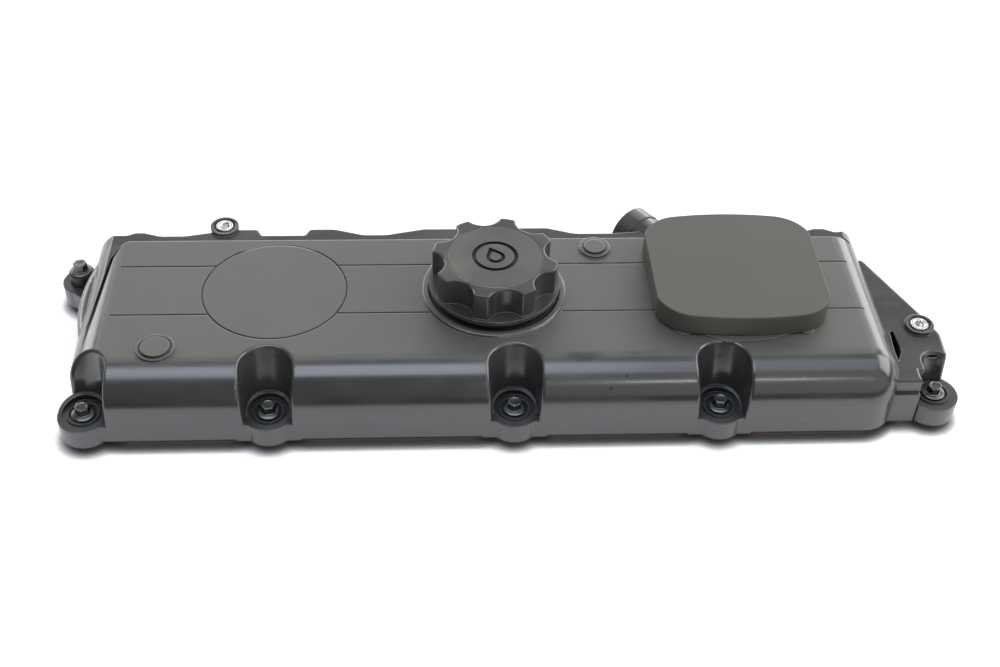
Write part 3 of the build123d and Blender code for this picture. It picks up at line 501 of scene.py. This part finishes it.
def make_screws(material):
    """The six baffle screws: pan heads with a six-lobed recess and a coarse thread."""
    rows = 70
    seat, tip = 0.0, SCREW_LENGTH
    head = [(1.55, -1.3), (1.6, -SCREW_HEAD_H), (SCREW_HEAD_R - 1.0, -SCREW_HEAD_H), (SCREW_HEAD_R - 0.3, -SCREW_HEAD_H + 0.4),
            (SCREW_HEAD_R, -SCREW_HEAD_H + 1.1), (SCREW_HEAD_R, -0.1), (SCREW_HEAD_R - 0.1, seat), (SCREW_R + 0.1, seat)]
    shank = [(SCREW_R, 0.2 + (tip - 2.0) * i / rows) for i in range(rows + 1)] + [(SCREW_R - 0.8, tip)]
    thread = thread_wave(SCREW_R, 0.5, 1.4, 0.6, tip - 1.8)

    def wave(angle, radius, z):
        if radius < 1.62 and z < -1.0:
            return radius * (1 + 0.14 * math.cos(6 * angle))
        return thread(angle, radius, z)
    parts = [(*closed_lathe(head + shank, 48, wave), (x, y, SCREW_SEAT_Z)) for x, y in SCREW_PLACES]
    make_piece("baffle_screws_detailed", *merge(parts), material, "cover", "screw_steel", "baffle_screws")



def solid_mesh(name, outline, low, high, holes=()):
    """A flat-sided solid between two heights from an outline and the outlines of its holes."""
    work = bmesh.new()
    for loop in (outline, *holes):
        rings = []
        for z in (low, high):
            rings.append([work.verts.new((x * MM, y * MM, z * MM)) for x, y in loop])
        for k in range(len(loop)):
            n = (k + 1) % len(loop)
            work.faces.new((rings[0][k], rings[0][n], rings[1][n], rings[1][k]))
    work.verts.ensure_lookup_table()
    for z in (low, high):
        rim = [e for e in work.edges if all(abs(v.co.z - z * MM) < 1e-7 for v in e.verts)]
        bmesh.ops.triangle_fill(work, edges=rim, use_beauty=True)
    bmesh.ops.recalc_face_normals(work, faces=work.faces)
    mesh = bpy.data.meshes.new(name)
    work.to_mesh(mesh)
    work.free()
    return mesh


def circle(radius, steps, centre=(0, 0)):
    turn = 2 * math.pi / steps
    return [(centre[0] + radius * math.cos(k * turn), centre[1] + radius * math.sin(k * turn)) for k in range(steps)]


def drop(radius, tip, steps=48):
    """The outline of a drop: a round belly below a pointed tip."""
    points = []
    for k in range(steps):
        angle = 2 * math.pi * k / steps - math.pi / 2
        x, y = radius * math.cos(angle), radius * math.sin(angle)
        if y > 0:
            lift = (y / radius) ** 2
            x *= 1 - lift * 0.62 - 0.38 * lift ** 4
            y += (tip - radius) * lift
        points.append((x, y - 0.8))
    return points


def make_disc(material, groove):
    """The disc in the cap's top with a plain engraved sign: an oil drop in a ring."""
    steps = 128
    rim = [(0.01, -DISC_T), (DISC_R - 0.3, -DISC_T), (DISC_R, -DISC_T + 0.3), (DISC_R, -0.45), (DISC_R - 0.12, -0.15),
           (DISC_R - 0.4, 0.0)]
    verts, faces = closed_lathe(rim, steps)
    centre = len(verts) - 1
    faces = [f for f in faces if centre not in f]
    last = (len(rim) - 1) * steps
    faces.append(tuple(last + k for k in range(steps)))
    base = bpy.data.meshes.new("disc_base")
    base.from_pydata([(x * MM, y * MM, z * MM) for x, y, z in verts], [], faces)
    disc = bpy.data.objects.new("filler_cap_disc_signed", base)
    bpy.context.scene.collection.objects.link(disc)
    cutters = (
        solid_mesh("sign_ring", circle(SIGN_R, 96), -SIGN_DEPTH, 1, [circle(SIGN_R - SIGN_LINE, 96)]),
        solid_mesh("sign_drop", drop(6.0, 10.0), -SIGN_DEPTH, 1, [drop(3.5, 5.6)]),
    )
    for mesh in cutters:
        tool = bpy.data.objects.new(mesh.name, mesh)
        bpy.context.scene.collection.objects.link(tool)
        cut = disc.modifiers.new(mesh.name, "BOOLEAN")
        cut.operation, cut.solver, cut.object = "DIFFERENCE", "EXACT", tool
        depsgraph = bpy.context.evaluated_depsgraph_get()
        shaped = bpy.data.meshes.new_from_object(disc.evaluated_get(depsgraph))
        disc.modifiers.clear()
        disc.data = shaped
        bpy.data.objects.remove(tool)
    work = bmesh.new()
    work.from_mesh(disc.data)
    bmesh.ops.remove_doubles(work, verts=work.verts, dist=2e-6)
    bmesh.ops.dissolve_degenerate(work, edges=work.edges, dist=1e-6)
    bmesh.ops.triangulate(work, faces=[f for f in work.faces if len(f.verts) > 4])
    bmesh.ops.recalc_face_normals(work, faces=work.faces)
    place = Vector((CAP_AT[0] * MM, CAP_AT[1] * MM, CAP_TOP_Z * MM))
    turn = Matrix.Rotation(math.radians(SIGN_TURN), 4, "Z")
    bmesh.ops.transform(work, matrix=Matrix.Translation(place) @ turn, verts=work.verts)
    for face in work.faces:
        face.smooth = True
    for edge in work.edges:
        edge.smooth = len(edge.link_faces) == 2 and edge.calc_face_angle(0) < math.radians(12)
    # Painted shade: the sunk faces of the engraved sign get the near-black groove finish.
    for face in work.faces:
        spot = face.calc_center_median() - place
        sunk = spot.z < -0.2 * MM and spot.xy.length < (SIGN_R + 1) * MM and spot.z > -(SIGN_DEPTH + 0.1) * MM
        face.material_index = 1 if sunk else 0
    disc.data.materials.clear()
    disc.data.materials.append(material)
    disc.data.materials.append(groove)
    work.to_mesh(disc.data)
    work.free()
    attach(disc, "cap")
    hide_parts("filler_cap_disc")


def make_spring(material):
    """The diaphragm's spring with closed ends."""
    low, high = SPRING_FOOT_Z + SPRING_WIRE_R, SPRING_TOP_Z - SPRING_WIRE_R
    turns, steps, sides = 6, 56, 10
    verts, faces = [], []
    for k in range(turns * steps + 1):
        turn = k / steps
        angle = 2 * math.pi * turn
        closed = 2 * SPRING_WIRE_R
        active = (high - low - 2 * closed) / (turns - 2)
        z = low + closed * min(turn, 1) + active * min(max(turn - 1, 0), turns - 2) + closed * max(turn - turns + 1, 0)
        for s in range(sides):
            across = 2 * math.pi * s / sides
            r = SPRING_COIL_R + SPRING_WIRE_R * math.cos(across)
            verts.append((r * math.cos(angle), r * math.sin(angle), z + SPRING_WIRE_R * math.sin(across)))
    for k in range(turns * steps):
        for s in range(sides):
            n = (s + 1) % sides
            faces.append((k * sides + s, k * sides + n, (k + 1) * sides + n, (k + 1) * sides + s))
    faces.append(tuple(range(sides)))
    faces.append(tuple(turns * steps * sides + s for s in reversed(range(sides))))
    shape = merge([(verts, faces, (*BREATHER_AT, 0))])
    spring = make_piece("diaphragm_spring_closed", *shape, material, "cover", "spring_steel", "diaphragm_spring", 60)
    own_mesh(spring)


def finish_nodes():
    """Gives every carried-over node its finish and adds the detailed pieces."""
    satin = surface("cap_plastic", tint(0.043, 0.044, 0.038), grey(0.26), 0.32, grain=0.5, bump=0.02, edge=0.6,
                    wear=0.9, specks=0.25, ior=1.7)
    disc = surface("cap_disc_plastic", tint(0.088, 0.089, 0.076), grey(0.26), 0.44, grain=0.5, bump=0.03, edge=0.3,
                   wear=0.5, specks=0.3)
    # Painted shade: near-black finish for the engraved sign's sunk faces.
    groove = surface("cap_sign_groove", grey(0.012), grey(0.06), 0.6, grain=0.4, edge=0.2, wear=0.3)
    steel = surface("bolt_steel", tint(0.14, 0.144, 0.136), grey(0.75), 0.36, 1.0, grain=0.3, bump=0.015, edge=0.35,
                    wear=0.9, patch=160, spread=0.35)
    bright = surface("insert_metal", grey(0.78, 0.01), grey(0.95), 0.26, 1.0, grain=0.25, bump=0.015, edge=0.25,
                     wear=0.8, patch=260, spread=0.15)
    screw = surface("screw_steel", grey(0.5), grey(0.75), 0.3, 1.0, grain=0.3, bump=0.01, edge=0.2, patch=160)
    rubber = surface("isolator_rubber", grey(0.028), grey(0.11), 0.42, grain=0.5, edge=0.5, wear=0.8)
    sleeve = surface("sleeve_steel", grey(0.4), grey(0.7), 0.35, 1.0, grain=0.3, edge=0.2)
    finishes = {
        "cover_moulding": cover_finish(),
        "cover_gasket": surface("gasket_rubber", tint(0.085, 0.016, 0.012), tint(0.14, 0.04, 0.03), 0.6, grain=0.6),
        "oil_filler_cap": satin,
        "filler_cap_seal": surface("cap_seal_rubber", grey(0.02), grey(0.05), 0.7),
        "breather_cover": surface("breather_plastic", tint(0.075, 0.0745, 0.061), grey(0.25), 0.5, grain=0.5, bump=0.04,
                                  edge=0.5, wear=0.7, spread=0.06, patch=9, specks=0.2),
        "breather_diaphragm": surface("diaphragm_rubber", grey(0.03), grey(0.06), 0.55),
        "diaphragm_plate": surface("plate_plastic", grey(0.6, 0.03), grey(0.7), 0.45),
        "diaphragm_spring": surface("spring_steel", grey(0.6), grey(0.8), 0.25, 1.0, grain=0.2, bump=0.005),
        "baffle_plate": surface("baffle_plastic", grey(0.03), grey(0.1), 0.5, grain=0.7, bump=0.04),
    }
    replaced = ("diaphragm_spring", "flange_bolts", "baffle_screws", "rear_insert", "end_insert", "filler_cap_disc")
    for name, node in nodes.items():
        if name in replaced:
            material = {"flange_bolts": steel, "baffle_screws": screw, "filler_cap_disc": disc,
                        "diaphragm_spring": finishes["diaphragm_spring"]}.get(name, bright)
        elif name.startswith("bolt_isolator"):
            material = rubber
        elif name.startswith("bolt_sleeve"):
            material = sleeve
        else:
            material = finishes[name]
        node.data.materials.clear()
        node.data.materials.append(material)
    make_bolts(steel)
    make_inserts(bright)
    make_screws(screw)
    make_disc(disc, groove)
    make_spring(finishes["diaphragm_spring"])


make_camera()
make_stage()
finish_nodes()
bpy.context.scene.view_settings.view_transform = "Standard"
